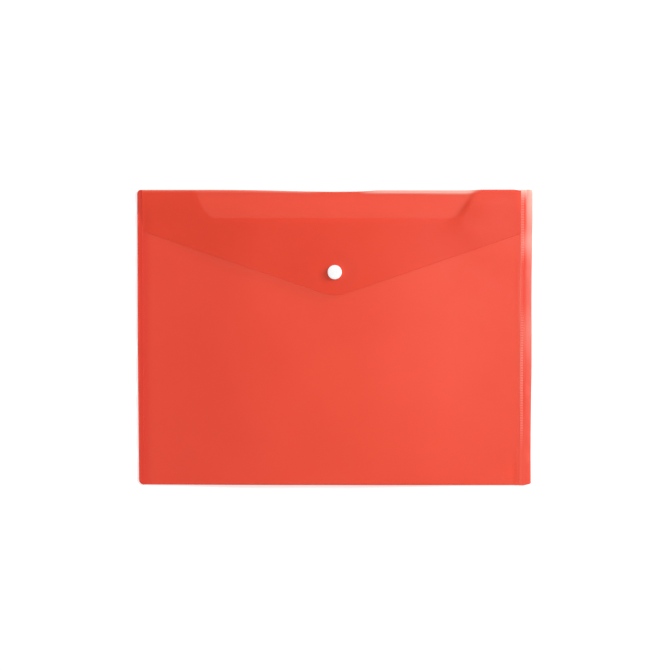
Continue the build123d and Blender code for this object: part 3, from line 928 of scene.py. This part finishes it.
def film_material(name, solid, tint, tones, shade_colour, gloss, sheen):
    """Satin red polypropylene film: a share is solid colour, and the rest shows what is behind it."""
    material, nodes, links, shader = new_material(name)
    clouds = noise(nodes, links, scale=14, detail=1.5)
    tone = ramp(nodes, links, clouds, *tones)
    # A darker red mixed in by one mask is painted shade; a pale colour mixed in by the other is
    # painted sheen.
    for mask, colour in (("deepening", shade_colour), ("whitening", SHEEN_PAINT)):
        share = nodes.new("ShaderNodeAttribute")
        share.attribute_name = mask
        change = nodes.new("ShaderNodeMixRGB")
        change.inputs["Color2"].default_value = (*colour, 1)
        links.new(share.outputs["Fac"], change.inputs["Fac"])
        links.new(tone, change.inputs["Color1"])
        tone = change.outputs["Color"]
    links.new(tone, shader.inputs["Base Color"])
    smears = noise(nodes, links, scale=60, detail=3)
    links.new(ramp(nodes, links, smears, *gloss), shader.inputs["Roughness"])
    shader.inputs["Specular IOR Level"].default_value = sheen
    grain(nodes, links, shader, scale=2600, distance=0.02 * MM, strength=0.12)
    clear = nodes.new("ShaderNodeBsdfTransparent")
    clear.inputs["Color"].default_value = (*tint, 1)
    mix = nodes.new("ShaderNodeMixShader")
    mix.inputs["Fac"].default_value = solid
    links.new(clear.outputs["BSDF"], mix.inputs[1])
    links.new(shader.outputs["BSDF"], mix.inputs[2])
    links.new(mix.outputs["Shader"], nodes["Material Output"].inputs["Surface"])
    return material


def popper_material():
    """Moulded white plastic."""
    material, nodes, links, shader = new_material("popper_white")
    clouds = noise(nodes, links, scale=300, detail=2)
    links.new(ramp(nodes, links, clouds, *POPPER_TONES), shader.inputs["Base Color"])
    smears = noise(nodes, links, scale=900, detail=2)
    links.new(ramp(nodes, links, smears, *POPPER_GLOSS), shader.inputs["Roughness"])
    grain(nodes, links, shader, scale=4000, distance=0.01 * MM, strength=0.15)
    return material


# Stage


def white_when_seen(nodes, links):
    """1 for rays that show the background itself, directly or in gloss or glass, and 0 for light."""
    path = nodes.new("ShaderNodeLightPath")
    total = path.outputs["Is Camera Ray"]
    for kind in ("Is Glossy Ray", "Is Transmission Ray"):
        node = nodes.new("ShaderNodeMath")
        node.operation = "MAXIMUM"
        links.new(total, node.inputs[0])
        links.new(path.outputs[kind], node.inputs[1])
        total = node.outputs["Value"]
    return total


def floor():
    """Plain white floor, on which the object's shadow shows."""
    mesh = bpy.data.meshes.new("floor")
    corners = [(-1, -1), (1, -1), (1, 1), (-1, 1)]
    points = [(x * FLOOR_SIZE, y * FLOOR_SIZE, FLOOR_Z) for x, y in corners]
    mesh.from_pydata(points, [], [(0, 1, 2, 3)])
    plane = bpy.data.objects.new("floor", mesh)
    bpy.context.scene.collection.objects.link(plane)
    material = bpy.data.materials.new("floor_white")
    material.use_nodes = True
    nodes, links = material.node_tree.nodes, material.node_tree.links
    nodes.clear()
    diffuse = nodes.new("ShaderNodeBsdfDiffuse")
    diffuse.inputs["Color"].default_value = FLOOR_COLOUR
    glow = nodes.new("ShaderNodeEmission")
    place = nodes.new("ShaderNodeTexCoord")
    distance = nodes.new("ShaderNodeVectorMath")
    distance.operation = "LENGTH"
    links.new(place.outputs["Object"], distance.inputs[0])
    level = nodes.new("ShaderNodeMapRange")
    level.inputs["From Min"].default_value = FLOOR_GLOW_SPAN[0]
    level.inputs["From Max"].default_value = FLOOR_GLOW_SPAN[1]
    level.inputs["To Min"].default_value = FLOOR_GLOW[0]
    level.inputs["To Max"].default_value = FLOOR_GLOW[1]
    links.new(distance.outputs["Value"], level.inputs["Value"])
    dim = nodes.new("ShaderNodeMath")
    dim.operation = "MULTIPLY"
    links.new(level.outputs["Result"], dim.inputs[1])
    links.new(white_when_seen(nodes, links), dim.inputs[0])
    links.new(dim.outputs["Value"], glow.inputs["Strength"])
    both = nodes.new("ShaderNodeAddShader")
    links.new(diffuse.outputs["BSDF"], both.inputs[0])
    links.new(glow.outputs["Emission"], both.inputs[1])
    output = nodes.new("ShaderNodeOutputMaterial")
    links.new(both.outputs["Shader"], output.inputs["Surface"])
    mesh.materials.append(material)


def world(level):
    """White surroundings that light the object softly."""
    sky = bpy.data.worlds.new("studio")
    bpy.context.scene.world = sky
    sky.use_nodes = True
    nodes, links = sky.node_tree.nodes, sky.node_tree.links
    strength = nodes.new("ShaderNodeMapRange")
    strength.inputs["To Min"].default_value = level
    strength.inputs["To Max"].default_value = 1.0
    links.new(white_when_seen(nodes, links), strength.inputs["Value"])
    background = nodes["Background"]
    background.inputs["Color"].default_value = (1, 1, 1, 1)
    links.new(strength.outputs["Result"], background.inputs["Strength"])


def softbox(name, azimuth, elevation, distance, size, power):
    """Square lamp aimed at the wallet, with its direction in degrees from +X and over the floor."""
    a, e = radians(azimuth), radians(elevation)
    back = Vector((cos(a) * cos(e), sin(a) * cos(e), sin(e)))
    data = bpy.data.lights.new(name, "AREA")
    data.shape = "SQUARE"
    data.size = size
    data.energy = power
    lamp = bpy.data.objects.new(name, data)
    lamp.location = back * distance
    lamp.rotation_mode = "QUATERNION"
    lamp.rotation_quaternion = (-back).to_track_quat("-Z", "Y")
    bpy.context.scene.collection.objects.link(lamp)


def camera():
    """View of the photograph, from almost straight above."""
    data = bpy.data.cameras.new("camera")
    data.lens = CAMERA_LENS
    data.sensor_width = 36
    eye = bpy.data.objects.new("camera", data)
    level = cos(CAMERA_TILT)
    back = Vector((level * sin(CAMERA_YAW), sin(CAMERA_TILT), level * cos(CAMERA_YAW)))
    eye.location = CAMERA_AIM + back * CAMERA_DISTANCE
    eye.rotation_euler = (-CAMERA_TILT, CAMERA_YAW, 0)
    bpy.context.scene.collection.objects.link(eye)
    bpy.context.scene.camera = eye


bpy.context.scene.view_settings.view_transform = "Standard"
camera()
floor()
world(WORLD_LEVEL)
softbox("key", azimuth=24, elevation=20, distance=2.6, size=0.26, power=62)
softbox("side", azimuth=8, elevation=64, distance=1.6, size=0.55, power=6.1)
softbox("back", azimuth=72, elevation=56, distance=1.3, size=0.45, power=2.2)

# Each finish carries the colour of its painted shade.
film_finish = (FILM_TONES, SHADE_PAINT, FILM_GLOSS, FILM_SHEEN)
fused_finish = (FUSED_TONES, FUSED_SHADE_PAINT, FILM_GLOSS, FUSED_SHEEN)
fused_solid = 1 - (1 - FILM_SOLID) ** 2
fused_tint = [level**2 for level in FILM_TINT]
inside = film_material("film_inside", INSIDE_SOLID, CLEAR, *film_finish)
film = (film_material("film", FILM_SOLID, FILM_TINT, *film_finish), inside)
fused = (film_material("film_fused", fused_solid, fused_tint, *fused_finish), inside)
pocket_sheet(film)
flap_sheet(film)
left_seam(fused)
right_seam(fused)

white = popper_material()
cap(white)
socket(white)
stud(white)
backing(white)
